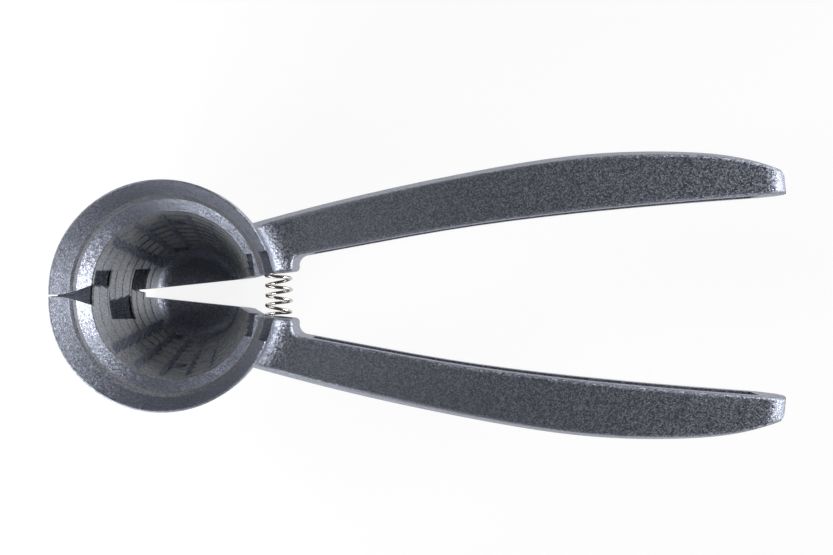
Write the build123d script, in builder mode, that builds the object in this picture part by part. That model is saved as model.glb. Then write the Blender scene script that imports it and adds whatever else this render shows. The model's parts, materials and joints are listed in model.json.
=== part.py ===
from build123d import *
import os
from math import asin, cos, pi, radians, sin, sqrt, tan

# Hand-squeezed cone nut cracker: two die-cast levers, a hinge pin and a return spring.
#
# Millimetres and degrees, +Z up out of the mouth of the cone, z = 0 at the foot of the cone.
# Each lever is drawn shut: the hinge axis is the Z axis, the split between the levers is the XZ
# plane, the handles run along +X and the drawn lever lies on the +Y side.  The last section turns
# the levers open about the hinge and puts the middle of the tool over the origin.

# ------------------------------------------------------------------ driving dimensions
open_angle = 6.0            # each lever stands this far off the split at rest
split_clearance = 0.12      # from the split to each jaw's flat

# the cone-shaped jaw, in radii about the cone's own axis and depths below its rim
cone_height = 50.0
cone_y = -1.9               # each half is cut short of its own axis
rim_radius = 29.4
rim_height = 4.5
rim_edge = 0.5
rim_overhang = 1.2          # from the rim in to the neck below it
neck_slope = 1.0
foot_wall = 3.4
foot_fillet = 3.5
mouth_wall = 0.6            # at the top, where the lip starts
lip_width = 2.8
lip_depth = 6.2
lip_round = 1.2             # where the lip turns down into the plain band
band_taper = 1.0
band_depth = 8.6
band_fillet = 0.6
floor_step = 1.53           # from the last terrace in to the floor
floor_thickness = 3.0
floor_fillet = 4.5

# the terraces inside the cone
first_tread_width = 2.55    # the first one is wider
first_tread_depth = 11.5
tread_pitch = 3.7
tread_step = 0.99           # radius lost from one terrace to the next
barb = 0.45                 # each terrace hangs this far over the next

# the rows of teeth: angles about the cone's axis, and how far each row reaches towards the split
tooth_rows = {129.0: 4.15, 111.0: 3.05, 93.0: 2.65, 75.0: 2.4, 57.0: 2.2}
tooth_width = 1.2
tooth_drop = 4.2
tooth_root = 1.5            # how far a tooth is sunk into the wall

# the round pads for the ejector pins: distance from the cone's axis along the split, depth
ejector_pads = [(1.2, 21.4), (-3.3, 43.5)]
ejector_radius = 2.1
ejector_reach = 1.3         # a pad stands this far off the wall

# the hinge
hinge_wall = 4.45           # from the hinge axis to the first terrace
hinge_radius = 6.8          # outside of the hinge block
hinge_top_depth = 11.0
hinge_floor = 1.8           # closes the block below the last finger
hinge_chamfer = 1.2
knuckle_radius = 4.4
knuckle_clearance = 0.4
finger_tread_counts = [2, 3, 2]     # terraces on each finger, from the top: lower, upper, lower
finger_drop = 1.0           # the first finger starts this far below the first terrace
finger_reach = [(3.3, 2.3), (2.55, 1.06), (2.55, 1.17)]     # past the split, at its top and bottom
finger_clearance = 0.25     # between neighbouring fingers, along the pin
socket_width = 6.0          # from the split to the end of a socket
socket_corner = 1.5
slit = 0.35                 # behind the hinge, from the split to each lever when open
relief_angle = 19.0         # the levers part by this much above the fingers
web_length = 14.0
web_width = 12.5
pin_diameter = 4.0
pin_cap = 2.0               # the first finger is closed over the pin
pin_setback = 0.2           # from the pin's ends to the closed end and to the last finger's underside
pin_chamfer = 0.3
press_clearance = 0.01
running_clearance = 0.05

# the handle, whose sides are points of share along from its root, distance from the split
handle_top_depth = 4.5
handle_thickness = 16.0
handle_length = 194.9       # from the hinge axis
handle_root = 10.3          # the plan starts this far inside the rim
handle_back = [(0.0, 13.9), (0.193, 18.4), (0.453, 22.5), (0.631, 23.75), (0.819, 21.75),
               (0.9275, 18.4), (0.991, 14.5)]
handle_front = [(0.23, 5.6), (0.369, 7.1), (0.672, 8.1), (1.0, 6.95)]
side_draft = 14.0
end_round = 7.0
end_corner = 2.4
edge_fillet = 1.0
crown_radius = 9.0
boss_wall = 1.3             # the boss for the spring ends this far past the spring's seat
boss_height = 1.5           # from the split to the bend into the handle's front
boss_round = 2.8
boss_turn = 82.0
boss_corner = 1.2
channel_height = 8.0
channel_web = 3.6
channel_gap = 4.9           # from the boss to the channel
channel_end_wall = 7.9
blend_width = 6.2           # the hollow sweep from the handle up to the rim

# the notch in the mouth beside the split
notch_width = 6.1
notch_steps = [6.1, 4.2, 2.7]       # how far from the split each upper terrace is cut away
notch_inset = 6.5           # its steps end this far inside the rim

# the return spring
spring_inset = 0.7          # its middle lies this far inside the rim
spring_drop = 2.0           # and this far below the middle of the handle
spring_diameter = 7.6
wire_diameter = 0.88
seat_clearance = 0.4        # round the spring
seat_depth = 3.6
seat_gap = 0.3
spring_turns = 7
end_pitch = 1.5             # the first and the last turn lie closer together

# ------------------------------------------------------------------ worked-out places
rim_z = cone_height
band_z = cone_height - band_depth
first_tread_z = cone_height - first_tread_depth
handle_top = cone_height - handle_top_depth
handle_bottom = handle_top - handle_thickness
handle_middle = (handle_top + handle_bottom) / 2
hinge_top = cone_height - hinge_top_depth
finger_tops = [first_tread_z - finger_drop - tread_pitch * sum(finger_tread_counts[:i])
               for i in range(4)]
hinge_bottom = finger_tops[3]
pin_end = finger_tops[0] - pin_cap
tread_count = 1 + int((first_tread_z - floor_thickness - floor_fillet) / tread_pitch)

neck_radius = rim_radius - rim_overhang
mouth_radius = rim_radius - mouth_wall
throat_radius = mouth_radius - lip_width
band_radius = throat_radius - band_taper
first_tread_radius = band_radius - first_tread_width
floor_radius = first_tread_radius - (tread_count - 1) * tread_step - floor_step
foot_radius = floor_radius + foot_wall

cone_x = hinge_wall + first_tread_radius
cone_axis = Axis((cone_x, cone_y, 0), (0, 0, 1))
cone_plane = Plane(origin=(cone_x, cone_y, 0), x_dir=(1, 0, 0), z_dir=(0, -1, 0))
rim_end = cone_x + rim_radius
spring_x = rim_end - spring_inset       # the coil bends along an arc about the hinge
spring_z = handle_middle - spring_drop
seat_radius = spring_diameter / 2 + seat_clearance
boss_end = spring_x + seat_radius + boss_wall
handle_start = rim_end - handle_root
back_points = [(handle_start + share * (handle_length - handle_start), y) for share, y in handle_back]
front_points = [(handle_start + share * (handle_length - handle_start), y) for share, y in handle_front]
handle_width = max(y for share, y in handle_back)
above = 5.0                 # cutters run this far past what they cut
pick = 0.01                 # how near an edge lies to the level by which it is picked


def tread_radius(depth):
    """Inside radius of the terraced wall, without the barbs, at a depth below the rim."""
    if depth < first_tread_depth:
        share = (depth - band_depth) / (first_tread_depth - band_depth)
        return band_radius + share * (first_tread_radius - band_radius)
    return first_tread_radius - tread_step * (depth - first_tread_depth) / tread_pitch


# ------------------------------------------------------------------ the hollow of the cone
with BuildPart() as cavity:
    with BuildSketch(cone_plane) as hollow:
        with BuildLine():
            outline = [(0, rim_z + above)]
            flare = (mouth_radius - throat_radius) / lip_depth
            outline += [(mouth_radius + flare * above, rim_z + above)]
            outline += [(throat_radius, rim_z - lip_depth), (band_radius, band_z)]
            for tread in range(tread_count):
                radius = first_tread_radius - tread * tread_step
                bottom = first_tread_z - tread * tread_pitch
                outline += [(radius - barb, bottom), (radius, bottom)]
            outline += [(floor_radius, floor_thickness), (0, floor_thickness)]
            Polyline(*outline, close=True)
        make_face()
        for corner, radius in (((throat_radius, rim_z - lip_depth), lip_round),
                               ((band_radius, band_z), band_fillet),
                               ((floor_radius, floor_thickness), floor_fillet)):
            fillet(hollow.vertices().sort_by_distance(corner)[0], radius)
    revolve(axis=cone_axis)

# ------------------------------------------------------------------ the teeth
with BuildPart() as teeth:
    for angle, reach in tooth_rows.items():
        for tread in range(tread_count):
            radius = first_tread_radius - (tread - 1) * tread_step
            depth = first_tread_depth + (tread - 1) * tread_pitch
            if tread == 0:
                radius = (band_radius + first_tread_radius) / 2
                depth = (band_depth + first_tread_depth) / 2
            spot = (cone_x + radius * cos(radians(angle)), cone_y + radius * sin(radians(angle)))
            side = Plane(origin=(*spot, rim_z - depth), x_dir=(0, 1, 0), z_dir=(1, 0, 0))
            with BuildSketch(side):
                with BuildLine():
                    Polyline((0, 0), (-reach, -tooth_drop), (tooth_root, -tooth_drop),
                             (tooth_root, 0), close=True)
                make_face()
    extrude(amount=tooth_width / 2, both=True)

# ------------------------------------------------------------------ the pads for the ejector pins
with BuildPart() as pads:
    for along, depth in ejector_pads:
        across = sqrt(tread_radius(depth) ** 2 - along ** 2)
        with BuildSketch(Plane(origin=(cone_x + along, cone_y + across - ejector_reach, rim_z - depth),
                               z_dir=(0, 1, 0))):
            Circle(ejector_radius)
    extrude(amount=ejector_reach + tooth_root)

# ------------------------------------------------------------------ the handle
with BuildPart() as handle:
    # the back, drafted up and down from the parting line half way up
    with BuildSketch(Plane.XY.offset(handle_middle)) as plan:
        with BuildLine():
            back = Spline(*back_points[::-1])
            Polyline(back @ 1, (handle_start, -above), (handle_length, -above),
                     (handle_length, back_points[-1][1] - end_corner), back @ 0)
        make_face()
    extrude(amount=rim_z - handle_middle - rim_edge, taper=side_draft)
    mirror(about=Plane.XY.offset(handle_middle))

    # the front, upright, with the boss for the spring
    with BuildSketch(Plane.XY) as front_cutter:
        with BuildLine():
            bend = JernArc((boss_end, boss_height), (0, 1), boss_round, -boss_turn)
            front = Spline(bend @ 1, *front_points)
            Line((boss_end, split_clearance), bend @ 0)
            Polyline(front @ 1, (handle_length + above, front_points[-1][1]),
                     (handle_length + above, -2 * above), (0, -2 * above), (0, split_clearance),
                     (boss_end, split_clearance))
        make_face()
        fillet(front_cutter.vertices().sort_by_distance((boss_end, split_clearance))[0], boss_corner)
    extrude(amount=rim_z + above, mode=Mode.SUBTRACT)

    # the top, level from the rim's hollow sweep to the rounded end
    with BuildSketch(Plane.XZ) as side_view:
        with BuildLine():
            past_sweep = rim_end + blend_width + above
            Polyline((0, rim_z), (past_sweep, rim_z), (past_sweep, handle_top),
                     (handle_length, handle_top), (handle_length, handle_bottom),
                     (0, handle_bottom), close=True)
        make_face()
        ends = side_view.vertices().group_by(Axis.X)[-1]
        fillet(ends, end_round)
    extrude(amount=2 * handle_width, both=True, mode=Mode.INTERSECT)

# what lies over the handle's root: everything above the hollow sweep
with BuildPart() as over_root:
    with BuildSketch(cone_plane):
        with BuildLine():
            far = rim_radius + blend_width + 4 * above
            sweep_foot = (rim_radius + blend_width, handle_top)
            sweep_head = (rim_radius, rim_z - rim_edge)
            Bezier(sweep_head, (rim_radius, handle_top), sweep_foot)
            Polyline(sweep_foot, (far, handle_top), (far, rim_z + above), (rim_radius, rim_z + above),
                     sweep_head)
        make_face()
    revolve(axis=cone_axis)

with BuildPart() as handle_body:
    add(handle.part)
    add(over_root.part, mode=Mode.SUBTRACT)
    # rounded long edges, and a crown over the parting line at the back
    for level in (handle_top, handle_bottom):
        rims = handle_body.edges().filter_by_position(Axis.Z, level - pick, level + pick)
        fillet(rims.filter_by(lambda edge: edge.length > handle_length / 2), edge_fillet)
    parting = handle_body.edges().filter_by_position(Axis.Z, handle_middle - pick, handle_middle + pick)
    fillet(parting.sort_by(Edge.length)[-1], crown_radius)
    # the channel along the front
    with BuildSketch(Plane.XY.offset(handle_middle - channel_height / 2)):
        with BuildLine():
            inside = Spline(*[(x, y - channel_web) for x, y in back_points[1:-1]])
            channel_start = boss_end + channel_gap
            channel_end = handle_length - channel_end_wall
            Polyline(inside @ 1, (channel_end, (inside @ 1).Y), (channel_end, -above),
                     (channel_start, -above), (channel_start, (inside @ 0).Y), inside @ 0)
        make_face()
    extrude(amount=channel_height, mode=Mode.SUBTRACT)

# ------------------------------------------------------------------ the hinge block, both halves
with BuildPart() as hinge_block:
    with BuildSketch(Plane.XY.offset(hinge_bottom - hinge_floor)):
        Circle(hinge_radius)
        with BuildLine():
            Polyline((0, hinge_radius), (web_length, web_width), (cone_x, web_width),
                     (cone_x, -web_width), (web_length, -web_width), (0, -hinge_radius), close=True)
        make_face()
    extrude(amount=hinge_top - hinge_bottom + hinge_floor)
    chamfer(hinge_block.faces().sort_by(Axis.Z)[-1].edges(), hinge_chamfer)

# ------------------------------------------------------------------ what the two levers share
with BuildPart() as blank:
    with BuildSketch(cone_plane) as wall:
        with BuildLine():
            Polyline((0, 0), (foot_radius, 0), (neck_radius, rim_z - rim_height - neck_slope),
                     (rim_radius, rim_z - rim_height), (rim_radius, rim_z), (0, rim_z), close=True)
        make_face()
        fillet(wall.vertices().sort_by_distance((foot_radius, 0))[0], foot_fillet)
        fillet(wall.vertices().sort_by_distance((rim_radius, rim_z))[0], rim_edge)
    revolve(axis=cone_axis)
    add(hinge_block.part)
    split(bisect_by=Plane(origin=(0, split_clearance, 0), z_dir=(0, 1, 0)), keep=Keep.TOP)
    add(handle_body.part)
    # the slit behind the hinge, and the relief above the fingers
    with BuildSketch(Plane.XY):
        with BuildLine():
            back_of_slit = slit + 2 * hinge_radius * tan(radians(open_angle))
            Polyline((0, slit), (-2 * hinge_radius, back_of_slit), (-2 * hinge_radius, 0), (0, 0),
                     close=True)
        make_face()
    extrude(amount=rim_z, mode=Mode.SUBTRACT)
    with BuildSketch(Plane.XY.offset(finger_tops[0])):
        with BuildLine():
            Polyline((0, slit), (0, 0), (web_length, 0),
                     (web_length, slit + web_length * tan(radians(relief_angle))), close=True)
        make_face()
    extrude(amount=rim_z - finger_tops[0], mode=Mode.SUBTRACT)

# ------------------------------------------------------------------ the notch and its steps
with BuildPart() as notch:
    with BuildSketch(Plane.XY.offset(handle_top)):
        with Locations((cone_x, cone_y)):
            Circle(rim_radius)
        with Locations((cone_x, 0)):
            Rectangle(2 * rim_radius, 2 * notch_width, align=(Align.MIN, Align.CENTER),
                      mode=Mode.INTERSECT)
    extrude(amount=handle_top_depth + above)
    for step, width in enumerate(notch_steps):
        with BuildSketch(Plane.XY.offset(first_tread_z - step * tread_pitch)):
            with Locations((cone_x, 0)):
                Rectangle(rim_radius - notch_inset, 2 * width, align=(Align.MIN, Align.CENTER))
        extrude(amount=first_tread_depth)


def lever_casting(own, other, bore_radius):
    """A shut lever on the +Y side: the shared form with its own fingers and sockets."""
    with BuildPart() as casting:
        add(blank.part)
        for level in own:
            top, bottom = finger_tops[level], finger_tops[level + 1]
            near = cone_x - tread_radius(rim_z - top)
            far = cone_x - tread_radius(rim_z - bottom)
            with BuildSketch(Plane.XY.offset(bottom)):
                Circle(knuckle_radius)
                with BuildLine():
                    reach_top, reach_bottom = finger_reach[level]
                    Polyline((0, socket_width), (0, -reach_top), (near, -reach_top),
                             (far, -reach_bottom), (web_length, socket_width), close=True)
                make_face()
            extrude(amount=top - bottom)
        for level in other:
            top, bottom = finger_tops[level], finger_tops[level + 1]
            with BuildSketch(Plane.XY.offset(bottom - finger_clearance)):
                Circle(knuckle_radius + knuckle_clearance)
                with Locations((web_length / 2, 0)):
                    RectangleRounded(web_length + 2 * socket_corner, 2 * socket_width, socket_corner)
            extrude(amount=top - bottom + 2 * finger_clearance, mode=Mode.SUBTRACT)
        add(cavity.part, mode=Mode.SUBTRACT)
        add(notch.part, mode=Mode.SUBTRACT)
        with BuildSketch(Plane.XY):
            Circle(bore_radius)
        extrude(amount=pin_end, mode=Mode.SUBTRACT)
        with BuildSketch(Plane(origin=(spring_x, seat_depth, spring_z), z_dir=(0, -1, 0))):
            Circle(seat_radius)
        extrude(amount=seat_depth + above, mode=Mode.SUBTRACT)
        add(teeth.part)
        add(pads.part)
    return casting.part


upper_shut = lever_casting([1], [0, 2], pin_diameter / 2 + running_clearance)
lower_shut = lever_casting([0, 2], [1], pin_diameter / 2 + press_clearance)

# ------------------------------------------------------------------ open the levers, centre the tool
reach_right = (Rot(0, 0, open_angle) * upper_shut).bounding_box()
hinge_x = -(reach_right.max.X + reach_right.min.X) / 2

with BuildPart() as upper_lever:
    with Locations(Location((hinge_x, 0, 0), (0, 0, open_angle))):
        add(upper_shut)

with BuildPart() as lower_lever:
    with Locations(Location((hinge_x, 0, 0), (0, 0, -open_angle))):
        add(mirror(lower_shut, about=Plane.XZ, mode=Mode.PRIVATE))

with BuildPart() as hinge_pin:
    with BuildSketch(Plane(origin=(hinge_x, 0, hinge_bottom + pin_setback))):
        Circle(pin_diameter / 2)
    extrude(amount=pin_end - hinge_bottom - 2 * pin_setback)
    chamfer(hinge_pin.edges().filter_by(GeomType.CIRCLE), pin_chamfer)

# ------------------------------------------------------------------ the return spring
coil_radius = (spring_diameter - wire_diameter) / 2
seat_angle = open_angle * pi / 180 + asin(seat_depth / spring_x)
coil_length = 2 * seat_angle * spring_x - wire_diameter - 2 * seat_gap
open_pitch = (coil_length - 2 * end_pitch) / (spring_turns - 2)


def coil_point(turn):
    """A point on the wire's centre line after so many turns, on an axis bent about the hinge."""
    run = -coil_length / 2
    if turn < 1:
        run += end_pitch * turn
    elif turn < spring_turns - 1:
        run += end_pitch + open_pitch * (turn - 1)
    else:
        run += coil_length + end_pitch * (turn - spring_turns)
    bend = run / spring_x
    out = spring_x + coil_radius * cos(2 * pi * turn)
    return Vector(hinge_x + out * cos(bend), out * sin(bend),
                  spring_z + coil_radius * sin(2 * pi * turn))


def coil_tangent(turn):
    """The wire's direction there, from two points close by."""
    small = 1e-4
    return (coil_point(turn + small) - coil_point(turn - small)).normalized()


def biarc_knee(start, start_tangent, end, end_tangent):
    """Where two equal-armed arcs between two directions meet."""
    chord = end - start
    both = start_tangent + end_tangent
    spread = 2 * (1 - start_tangent.dot(end_tangent))
    arm = (sqrt(chord.dot(both) ** 2 + spread * chord.dot(chord)) - chord.dot(both)) / spread
    return (start + end + (start_tangent - end_tangent) * arm) * 0.5


with BuildPart() as return_spring:
    with BuildLine() as coil:
        for half_turn in range(2 * spring_turns):
            first, last = half_turn / 2, (half_turn + 1) / 2
            start, end = coil_point(first), coil_point(last)
            knee = biarc_knee(start, coil_tangent(first), end, coil_tangent(last))
            into = TangentArc(start, knee, tangent=coil_tangent(first))
            TangentArc(knee, end, tangent=into % 1)
    with BuildSketch(Plane(origin=coil_point(0), z_dir=coil_tangent(0))):
        Circle(wire_diameter / 2)
    sweep()

# the least gap between neighbouring turns, from points along the wire
steps_a_turn = 24
samples = [coil_point(i / steps_a_turn) for i in range(spring_turns * steps_a_turn + 1)]
least = min((a - b).length for i, a in enumerate(samples) for b in samples[i + steps_a_turn // 2:])
print(f"least gap between turns of the spring {least - wire_diameter:.2f} mm")

# ------------------------------------------------------------------ labels and files
os.makedirs("parts", exist_ok=True)
for name, piece in (("upper_lever", upper_lever), ("lower_lever", lower_lever),
                    ("hinge_pin", hinge_pin), ("return_spring", return_spring)):
    piece.part.label = name
    export_step(piece.part, f"parts/{name}.step")
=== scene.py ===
import json
from math import cos, pi, radians, sin

import bpy
import numpy as np
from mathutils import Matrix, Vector


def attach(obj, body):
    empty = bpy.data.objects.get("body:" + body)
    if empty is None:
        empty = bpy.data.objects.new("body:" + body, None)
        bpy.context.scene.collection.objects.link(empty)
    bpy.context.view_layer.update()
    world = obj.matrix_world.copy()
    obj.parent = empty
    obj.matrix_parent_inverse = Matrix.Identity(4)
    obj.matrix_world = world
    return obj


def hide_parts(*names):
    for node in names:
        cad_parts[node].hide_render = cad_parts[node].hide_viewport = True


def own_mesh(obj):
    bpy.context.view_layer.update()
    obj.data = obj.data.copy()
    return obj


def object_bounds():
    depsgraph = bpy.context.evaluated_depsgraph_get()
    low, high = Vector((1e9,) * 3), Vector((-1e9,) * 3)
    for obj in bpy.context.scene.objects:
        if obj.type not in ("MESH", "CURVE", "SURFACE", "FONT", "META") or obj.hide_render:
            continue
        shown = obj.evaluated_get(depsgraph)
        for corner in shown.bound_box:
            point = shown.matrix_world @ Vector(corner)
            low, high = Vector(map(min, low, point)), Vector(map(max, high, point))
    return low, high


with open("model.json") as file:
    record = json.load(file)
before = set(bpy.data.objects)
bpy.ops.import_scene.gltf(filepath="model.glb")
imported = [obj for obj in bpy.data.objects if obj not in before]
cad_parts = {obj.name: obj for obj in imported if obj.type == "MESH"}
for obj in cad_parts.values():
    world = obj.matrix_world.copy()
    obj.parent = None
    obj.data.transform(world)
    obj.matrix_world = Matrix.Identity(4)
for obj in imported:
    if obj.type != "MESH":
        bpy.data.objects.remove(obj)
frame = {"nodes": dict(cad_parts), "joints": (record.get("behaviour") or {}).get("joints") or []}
cad_low, cad_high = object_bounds()

# ---------------------------------------------------------------- sizes, in metres
MM = 0.001
HINGE_X = frame["joints"][0]["pos_m"][0]
RIM_Z = cad_high[2]

# the return spring
TURNS = 7
COIL_FROM_HINGE = 55.6 * MM
COIL_Z = 35.5 * MM
COIL_RADIUS = 3.36 * MM
COIL_LENGTH = 17.37 * MM        # at rest, along the bent axis
END_PITCH = 1.5 * MM            # how far the first and the last turn advance
WIRE_RADIUS = 0.44 * MM
WIRE_SIDES, RINGS_A_TURN = 20, 48
END_EDGE, END_SHARE = 0.003, 0.85       # the round at a cut end: its turns, and its share of the radius
TURN_STEP = 1e-4                # a small part of a turn, to find the wire's direction

# the cone in the shut lever: its axis from the hinge, and how far each lever is open at rest
OPEN_ANGLE = radians(6.0)
CONE_FROM_HINGE = 26.9 * MM
CONE_SIDE = -1.9 * MM

# the bands on the cone's wall. Depths are below the rim.
FIRST_RADIUS, FIRST_DEPTH = 22.45 * MM, 11.5 * MM
TREAD_PITCH, TREAD_STEP, TREADS = 3.7 * MM, 0.99 * MM, 9
LEDGE = 0.3 * MM
LINER_INSET = 0.47 * MM         # clears the tips of the CAD wall's barbs
BAND_BACK = 1.0 * MM            # how far a band is sunk into the wall
BAND_SECTIONS = 150
PLAIN_TOP, PLAIN_BOTTOM, PLAIN_RADIUS = 6.25 * MM, 8.6 * MM, 24.97 * MM
PLAIN_END = 1.1 * MM            # the plain band's end by the hinge, from the split
SPLIT = 0.14 * MM               # half of the gap between the shut levers
NOTCH_ENDS = (4.25 * MM, 2.75 * MM)     # ends of the upper two terraces by the handle, from the split
SAW = 1.0 * MM                  # how far each terrace's end on a finger leans back
NUDGE = 1e-6                    # keeps a depth on its own side of a ledge
# spans of depth by the hinge: from, to, distance from the split at the top, its change downwards.
# A finger reaches past the split, and a socket stays clear of it.
HINGE_SPANS = {
    1: [(11.0 * MM, 12.25 * MM, 2.4 * MM, 0), (12.25 * MM, 20.15 * MM, 6.0 * MM, 0),
        (20.15 * MM, 30.75 * MM, -2.9 * MM, 1.2 * MM), (30.75 * MM, 38.65 * MM, 6.0 * MM, 0),
        (38.65 * MM, 45.0 * MM, SPLIT, 0)],
    -1: [(11.0 * MM, 12.5 * MM, 2.4 * MM, 0), (12.5 * MM, 19.65 * MM, -3.5 * MM, 0.4 * MM),
         (19.65 * MM, 31.25 * MM, 6.0 * MM, 0), (31.25 * MM, 38.4 * MM, -2.9 * MM, 1.2 * MM),
         (38.4 * MM, 45.0 * MM, SPLIT, 0)],
}

# floor, light and camera
FLOOR_HALF = 1.5
WORLD_LIGHT = 0.04
AIM_HEIGHT = 45 * MM
# softboxes: the point they look at (x), direction and height as seen from there, distance, side,
# watts and how widely they shine. Angles are in degrees.
LAMPS = {
    "right": (0.0, 0, 12, 0.9, 0.4, 6.4, 180),
    "right_back": (0.0, 42, 13, 0.9, 0.4, 4.2, 180),
    "right_front": (0.0, 318, 13, 0.9, 0.4, 1.5, 180),
    "jaw": (-82 * MM, 0, 30, 0.4, 0.05, 0.0085, 12),
    "left": (-66 * MM, 180, 14, 0.32, 0.16, 0.45, 180),
    "left_front": (-66 * MM, 225, 14, 0.32, 0.16, 0.7, 180),
    "front": (-66 * MM, 245, 14, 0.32, 0.16, 0.35, 180),
    "left_back": (-66 * MM, 135, 35, 0.32, 0.16, 0.3, 180),
}
CAMERA_ABOVE_RIM = 254 * MM     # worked out from how the cone narrows in the photograph
CAMERA_FROM_HINGE = 93.2 * MM
CAMERA_SIDE = 4.8 * MM
CAMERA_LENS = 42.35             # in millimetres, on Blender's 36 mm sensor


# ---------------------------------------------------------------- helpers
def linear(hex_colour):
    """sRGB hex to linear RGBA: c / 12.92 below 0.04045, else ((c + 0.055) / 1.055) ** 2.4."""
    values = [int(hex_colour[i:i + 2], 16) / 255 for i in (1, 3, 5)]
    return [c / 12.92 if c <= 0.04045 else ((c + 0.055) / 1.055) ** 2.4 for c in values] + [1.0]


def node(material, kind, links=None, **settings):
    """Adds one node, sets its properties and sockets by name, and links sockets from other nodes."""
    made = material.node_tree.nodes.new(kind)
    for name, value in settings.items():
        if hasattr(made, name):
            setattr(made, name, value)
        else:
            made.inputs[name.replace("_", " ")].default_value = value
    for socket, source in (links or {}).items():
        material.node_tree.links.new(made.inputs[socket], source)
    return made


def new_material(name):
    """An empty material and its output node."""
    material = bpy.data.materials.new(name)
    material.use_nodes = True
    material.node_tree.nodes.clear()
    return material, material.node_tree.nodes.new("ShaderNodeOutputMaterial")


def new_object(name, data):
    """An object of the scene with this mesh, lamp or camera."""
    made = bpy.data.objects.new(name, data)
    bpy.context.scene.collection.objects.link(made)
    return made


# ---------------------------------------------------------------- materials
def flake_coated_casting(name, dark, light, metallic, roughness):
    """Aluminium die casting under a non-stick coat with metal flakes, faintly orange-peeled. Each
    flake has a tone between dark and light and lies tilted a little its own way, so that it glints
    alone."""
    flake_size, flake_tilt = 0.3 * MM, 0.3
    peel_size, peel_depth = 0.9 * MM, 0.04 * MM
    material, output = new_material(name)
    place = node(material, "ShaderNodeTexCoord").outputs["Object"]
    flakes = node(material, "ShaderNodeTexVoronoi", {"Vector": place}, Scale=1 / flake_size)
    parts = node(material, "ShaderNodeSeparateColor", {"Color": flakes.outputs["Color"]})
    tone = node(material, "ShaderNodeValToRGB", {"Fac": parts.outputs["Red"]})
    tone.color_ramp.elements[0].color = linear(dark)
    tone.color_ramp.elements[1].color = linear(light)
    peel = node(material, "ShaderNodeTexNoise", {"Vector": place}, Scale=1 / peel_size, Detail=2.0)
    bump = node(material, "ShaderNodeBump", {"Height": peel.outputs["Fac"]}, Strength=0.25,
                Distance=peel_depth)
    # the tilt: the flake's own random vector, less its middle, added to the normal
    middle = node(material, "ShaderNodeVectorMath", {0: flakes.outputs["Color"]},
                  operation="SUBTRACT")
    middle.inputs[1].default_value = (0.5, 0.5, 0.5)
    tilt = node(material, "ShaderNodeVectorMath", {0: middle.outputs["Vector"]},
                operation="SCALE", Scale=flake_tilt)
    tilted = node(material, "ShaderNodeVectorMath",
                  {0: bump.outputs["Normal"], 1: tilt.outputs["Vector"]}, operation="ADD")
    normal = node(material, "ShaderNodeVectorMath", {0: tilted.outputs["Vector"]},
                  operation="NORMALIZE")
    shader = node(material, "ShaderNodeBsdfPrincipled",
                  {"Base Color": tone.outputs["Color"], "Normal": normal.outputs["Vector"]},
                  Metallic=metallic, Roughness=roughness)
    material.node_tree.links.new(output.inputs["Surface"], shader.outputs["BSDF"])
    return material


def drawn_steel_wire():
    """Hard-drawn spring steel wire, bare: bright, with fine drawing lines that run along the wire."""
    line_length, line_width, line_depth = 6 * MM, 0.05 * MM, 0.005 * MM
    material, output = new_material("drawn_steel_wire")
    # the map is in metres, along the wire and round it
    place = node(material, "ShaderNodeTexCoord").outputs["UV"]
    stretch = node(material, "ShaderNodeVectorMath", {0: place}, operation="MULTIPLY")
    stretch.inputs[1].default_value = (1 / line_length, 1 / line_width, 0)
    lines = node(material, "ShaderNodeTexNoise", {"Vector": stretch.outputs["Vector"]}, Scale=1.0,
                 Detail=2.0)
    rough = node(material, "ShaderNodeMapRange", {"Value": lines.outputs["Fac"]}, To_Min=0.1,
                 To_Max=0.3)
    bump = node(material, "ShaderNodeBump", {"Height": lines.outputs["Fac"]}, Strength=0.3,
                Distance=line_depth)
    shader = node(material, "ShaderNodeBsdfPrincipled",
                  {"Roughness": rough.outputs["Result"], "Normal": bump.outputs["Normal"]},
                  Base_Color=linear("#c9c4bd"), Metallic=1.0)
    material.node_tree.links.new(output.inputs["Surface"], shader.outputs["BSDF"])
    return material


def ground_steel():
    """Ground steel pin, faintly oiled: even grey with a soft gleam."""
    line_length, line_width = 2 * MM, 0.08 * MM
    material, output = new_material("ground_steel")
    # grinding runs round the pin, so the pattern is fine along Z only
    place = node(material, "ShaderNodeTexCoord").outputs["Object"]
    stretch = node(material, "ShaderNodeVectorMath", {0: place}, operation="MULTIPLY")
    stretch.inputs[1].default_value = (1 / line_length, 1 / line_length, 1 / line_width)
    lines = node(material, "ShaderNodeTexNoise", {"Vector": stretch.outputs["Vector"]}, Scale=1.0,
                 Detail=2.0)
    rough = node(material, "ShaderNodeMapRange", {"Value": lines.outputs["Fac"]}, To_Min=0.25,
                 To_Max=0.45)
    shader = node(material, "ShaderNodeBsdfPrincipled", {"Roughness": rough.outputs["Result"]},
                  Base_Color=linear("#b4b4b6"), Metallic=1.0)
    material.node_tree.links.new(output.inputs["Surface"], shader.outputs["BSDF"])
    return material


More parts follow.
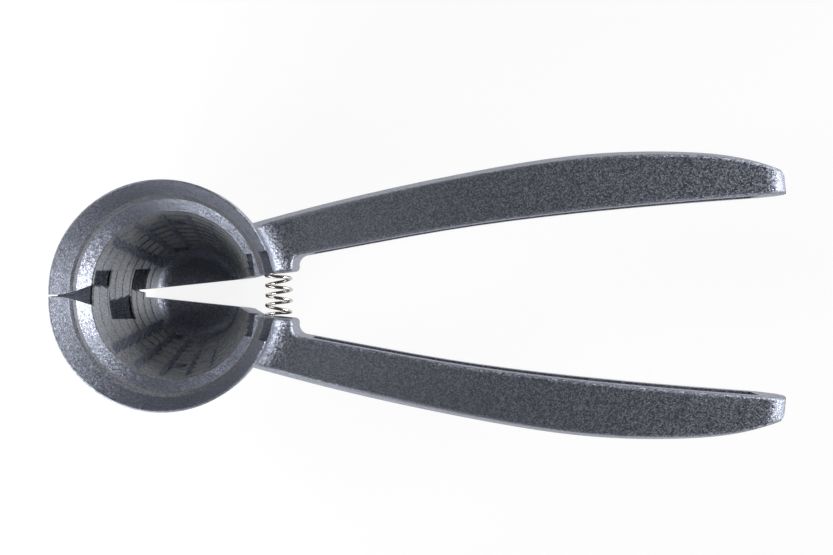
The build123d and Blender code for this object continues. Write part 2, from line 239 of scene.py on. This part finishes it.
def white_floor():
    """Matt white board, lifted towards white where the camera or a reflection sees it."""
    lifted_share = 0.8
    material, output = new_material("white_floor")
    path = node(material, "ShaderNodeLightPath")
    seen = node(material, "ShaderNodeMath",
                {0: path.outputs["Is Camera Ray"], 1: path.outputs["Is Glossy Ray"]},
                operation="MAXIMUM")
    seen = node(material, "ShaderNodeMath",
                {0: seen.outputs[0], 1: path.outputs["Is Transmission Ray"]}, operation="MAXIMUM")
    share = node(material, "ShaderNodeMath", {0: seen.outputs[0]}, operation="MULTIPLY")
    share.inputs[1].default_value = lifted_share
    matt = node(material, "ShaderNodeBsdfDiffuse", Color=linear("#f4f4f4"))
    glow = node(material, "ShaderNodeEmission", Color=linear("#ffffff"), Strength=1.06)
    mix = node(material, "ShaderNodeMixShader",
               {0: share.outputs[0], 1: matt.outputs[0], 2: glow.outputs[0]})
    material.node_tree.links.new(output.inputs["Surface"], mix.outputs[0])
    return material


# ---------------------------------------------------------------- the CAD nodes keep their shapes
coat = flake_coated_casting("flake_coated_casting", "#70747f", "#a0a4b1", 0.93, 0.48)
for name, finish in (("upper_lever", coat), ("lower_lever", coat), ("hinge_pin", ground_steel())):
    frame["nodes"][name].data.materials.clear()
    frame["nodes"][name].data.materials.append(finish)


# ---------------------------------------------------------------- the return spring, as a wound wire
def coil_centre(turn):
    """The wire's centre after so many turns: a circle round an axis that is itself bent about the
    hinge. The turns advance slowly over the first and the last turn, and evenly between them."""
    first = np.minimum(turn, 1) * END_PITCH
    last = np.maximum(turn - (TURNS - 1), 0) * END_PITCH
    middle = np.clip(turn - 1, 0, TURNS - 2) * (COIL_LENGTH - 2 * END_PITCH) / (TURNS - 2)
    bend = (first + middle + last - COIL_LENGTH / 2) / COIL_FROM_HINGE
    out = COIL_FROM_HINGE + COIL_RADIUS * np.cos(2 * pi * turn)
    return np.stack([HINGE_X + out * np.cos(bend), out * np.sin(bend),
                     COIL_Z + COIL_RADIUS * np.sin(2 * pi * turn)], axis=-1)


def wire_surface(turn, around, thickness):
    """A point on the wire: from the centre, outwards by the wire's radius times thickness, in the
    plane across the wire. The angle around runs from the side that faces away from the coil's axis."""
    along = coil_centre(turn + TURN_STEP) - coil_centre(turn - TURN_STEP)
    along /= np.linalg.norm(along, axis=-1, keepdims=True)
    out = np.stack([np.cos(2 * pi * turn), 0 * turn, np.sin(2 * pi * turn)], axis=-1)
    out -= along * np.sum(out * along, axis=-1, keepdims=True)
    out /= np.linalg.norm(out, axis=-1, keepdims=True)
    side = np.cross(along, out)
    reach = (WIRE_RADIUS * thickness)[..., None]
    return coil_centre(turn) + reach * (np.cos(around)[..., None] * out
                                        + np.sin(around)[..., None] * side)


def wound_spring():
    """The whole wire as one closed tube, with a map in metres along it and round it."""
    even = np.linspace(0, TURNS, RINGS_A_TURN * TURNS + 1)[1:-1]
    # the cut ends: a small round over the edge, then flat to the middle
    turn = np.concatenate([[0, 0, END_EDGE], even, [TURNS - END_EDGE, TURNS, TURNS]])
    thickness = np.concatenate([[0, END_SHARE, 1], np.ones_like(even), [1, END_SHARE, 0]])
    around = np.linspace(0, 2 * pi, WIRE_SIDES, endpoint=False)
    grid_turn, grid_around = np.meshgrid(turn, around, indexing="ij")
    points = wire_surface(grid_turn, grid_around, thickness[:, None])
    faces = []
    for i in range(len(turn) - 1):
        for j in range(WIRE_SIDES):
            k = (j + 1) % WIRE_SIDES
            near, far = i * WIRE_SIDES, (i + 1) * WIRE_SIDES
            faces.append((near + j, near + k, far + k, far + j))
    mesh = bpy.data.meshes.new("return_spring_wire")
    mesh.from_pydata(points.reshape(-1, 3).tolist(), [], faces)
    chart = mesh.uv_layers.new(name="UVMap")
    turn_length = 2 * pi * COIL_RADIUS
    side_width = 2 * pi * WIRE_RADIUS / WIRE_SIDES
    for face in mesh.polygons:
        i, j = divmod(face.index, WIRE_SIDES)
        for corner, (di, dj) in zip(face.loop_indices, ((0, 0), (0, 1), (1, 1), (1, 0))):
            chart.data[corner].uv = (turn[i + di] * turn_length, (j + dj) * side_width)
        face.use_smooth = True
    return mesh


spring_mesh = wound_spring()
spring_mesh.materials.append(drawn_steel_wire())
spring = new_object("return_spring_wire", spring_mesh)
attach(spring, "lower_lever")
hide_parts("return_spring")
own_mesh(spring)


# ---------------------------------------------------------------- the terraces inside the cone
# The CAD wall has its terraces as barbs. These bands lie on it and give each terrace a narrow ledge
# that faces up, and the wall above them a plain band under the lip.
def terrace_radius(number):
    """Radius of the CAD wall's terrace edges: equal steps inwards, one for each terrace down."""
    return FIRST_RADIUS - number * TREAD_STEP


def slope_radius(depth):
    """Inner radius of the bands at a depth: down each terrace it falls evenly from the inner edge of
    one ledge to the outer edge of the next."""
    terraces_down = (depth - FIRST_DEPTH) / TREAD_PITCH
    number = np.floor(terraces_down + NUDGE)
    outer = terrace_radius(number) - LINER_INSET
    return outer - LEDGE - (terraces_down - number) * (TREAD_STEP - LEDGE)


def on_lever(side, radius, angle, depth):
    """A point by radius and angle about the cone's axis, in the shut lever, turned open about the
    hinge. Side is 1 for the upper lever and -1 for the lower one, which is its mirror image."""
    x = CONE_FROM_HINGE + radius * np.cos(angle)
    y = side * (CONE_SIDE + radius * np.sin(angle))
    turn = side * OPEN_ANGLE
    return np.stack([HINGE_X + x * cos(turn) - y * sin(turn), x * sin(turn) + y * cos(turn),
                     RIM_Z - depth + 0 * x], axis=-1)


def band(side, top, bottom, hinge_ends, handle_end):
    """A closed band between two depths, each with its inner radius: around the cone from the plane
    at one distance from the split, by the hinge, to that at another, by the handle. By the hinge
    the distance changes evenly from hinge_ends[0] at the top to hinge_ends[1] at the bottom."""
    (top_depth, top_radius), (bottom_depth, bottom_radius) = top, bottom
    corners = ((top_radius, top_depth, hinge_ends[0]), (bottom_radius, bottom_depth, hinge_ends[1]),
               (bottom_radius + BAND_BACK, bottom_depth, hinge_ends[1]),
               (top_radius + BAND_BACK, top_depth, hinge_ends[0]))
    rails = []
    for radius, depth, hinge_end in corners:
        start = pi - np.arcsin((hinge_end - CONE_SIDE) / radius)
        end = np.arcsin((handle_end - CONE_SIDE) / radius)
        rails.append(on_lever(side, radius, np.linspace(start, end, BAND_SECTIONS), depth))
    points = np.stack(rails, axis=1).reshape(-1, 3)
    count = len(corners)
    last = count * (BAND_SECTIONS - 1)
    faces = [tuple(range(count)), tuple(last + i for i in reversed(range(count)))]
    for near in range(0, last, count):
        for j in range(count):
            k = (j + 1) % count
            faces.append((near + j, near + count + j, near + count + k, near + k))
    if side > 0:
        faces = [face[::-1] for face in faces]
    return points, faces


def terrace_bands(side):
    """All bands of one lever as one mesh: the plain band, then one for each terrace, parted again
    where a finger or a socket begins."""
    spans = HINGE_SPANS[side]
    levels = sorted({FIRST_DEPTH + i * TREAD_PITCH for i in range(TREADS)}
                    | {depth for span in spans for depth in span[:2] if depth > FIRST_DEPTH})
    bands = [band(side, (PLAIN_TOP, PLAIN_RADIUS), (PLAIN_BOTTOM, PLAIN_RADIUS),
                  (PLAIN_END, PLAIN_END), SPLIT)]
    for top, bottom in zip(levels, levels[1:]):
        middle = (top + bottom) / 2
        number = int((middle - FIRST_DEPTH) / TREAD_PITCH)
        tread_top = FIRST_DEPTH + number * TREAD_PITCH
        span_top, span_bottom, reach, change = next(
            span for span in spans if span[0] < middle < span[1])
        reach += change * (middle - span_top) / (span_bottom - span_top)
        # each terrace's end on a finger leans back by itself, so that the finger's end is saw-toothed
        lean = SAW if reach < 0 else 0
        hinge_ends = [reach + lean * (depth - tread_top) / TREAD_PITCH for depth in (top, bottom)]
        handle_end = NOTCH_ENDS[number] if number < len(NOTCH_ENDS) else SPLIT
        bands.append(band(side, (top, slope_radius(top + NUDGE)),
                          (bottom, slope_radius(bottom - 2 * NUDGE)), hinge_ends, handle_end))
    points, faces = [], []
    for band_points, band_faces in bands:
        faces += [tuple(len(points) + corner for corner in face) for face in band_faces]
        points += band_points.tolist()
    mesh = bpy.data.meshes.new("terraces")
    mesh.from_pydata(points, [], faces)
    return mesh


# the terraces get a paler, less blue copy of the coat, a little rougher and less metallic: its paler,
# warmer tone is painted light, standing in for the light that a nut in the cone throws back onto them
terrace_coat_painted_light = flake_coated_casting("flake_coat_painted_light", "#86888e", "#b6b8bd", 0.75, 0.55)

for name, side in (("upper_lever", 1), ("lower_lever", -1)):
    terrace_mesh = terrace_bands(side)
    # the terraces wear the paler copy of the coat, which paints on them the light a nut throws back
    terrace_mesh.materials.append(terrace_coat_painted_light)
    terraces = new_object(name + "_terraces", terrace_mesh)
    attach(terraces, name)


# ---------------------------------------------------------------- floor, light, camera
floor_mesh = bpy.data.meshes.new("floor")
floor_mesh.from_pydata([(x * FLOOR_HALF, y * FLOOR_HALF, 0)
                        for x, y in ((-1, -1), (1, -1), (1, 1), (-1, 1))], [], [(0, 1, 2, 3)])
floor_mesh.materials.append(white_floor())
floor = new_object("floor", floor_mesh)

for name, (aim_x, azimuth, elevation, distance, side, watts, spread) in LAMPS.items():
    lamp_data = bpy.data.lights.new(name, "AREA")
    lamp_data.shape = "SQUARE"
    lamp_data.size = side
    lamp_data.energy = watts
    lamp_data.spread = radians(spread)
    lamp = new_object(name, lamp_data)
    away = Vector((cos(radians(elevation)) * cos(radians(azimuth)),
                   cos(radians(elevation)) * sin(radians(azimuth)), sin(radians(elevation))))
    lamp.location = Vector((aim_x, 0, AIM_HEIGHT)) + distance * away
    lamp.rotation_euler = away.to_track_quat("Z", "Y").to_euler()
    lamp.visible_camera = False

world = bpy.data.worlds.new("studio")
bpy.context.scene.world = world
world.use_nodes = True
world.node_tree.nodes["Background"].inputs["Color"].default_value = linear("#ffffff")
world.node_tree.nodes["Background"].inputs["Strength"].default_value = WORLD_LIGHT

camera_data = bpy.data.cameras.new("camera")
camera_data.lens = CAMERA_LENS
camera = new_object("camera", camera_data)
camera.location = (HINGE_X + CAMERA_FROM_HINGE, CAMERA_SIDE, RIM_Z + CAMERA_ABOVE_RIM)
bpy.context.scene.camera = camera
bpy.context.scene.view_settings.view_transform = "Standard"
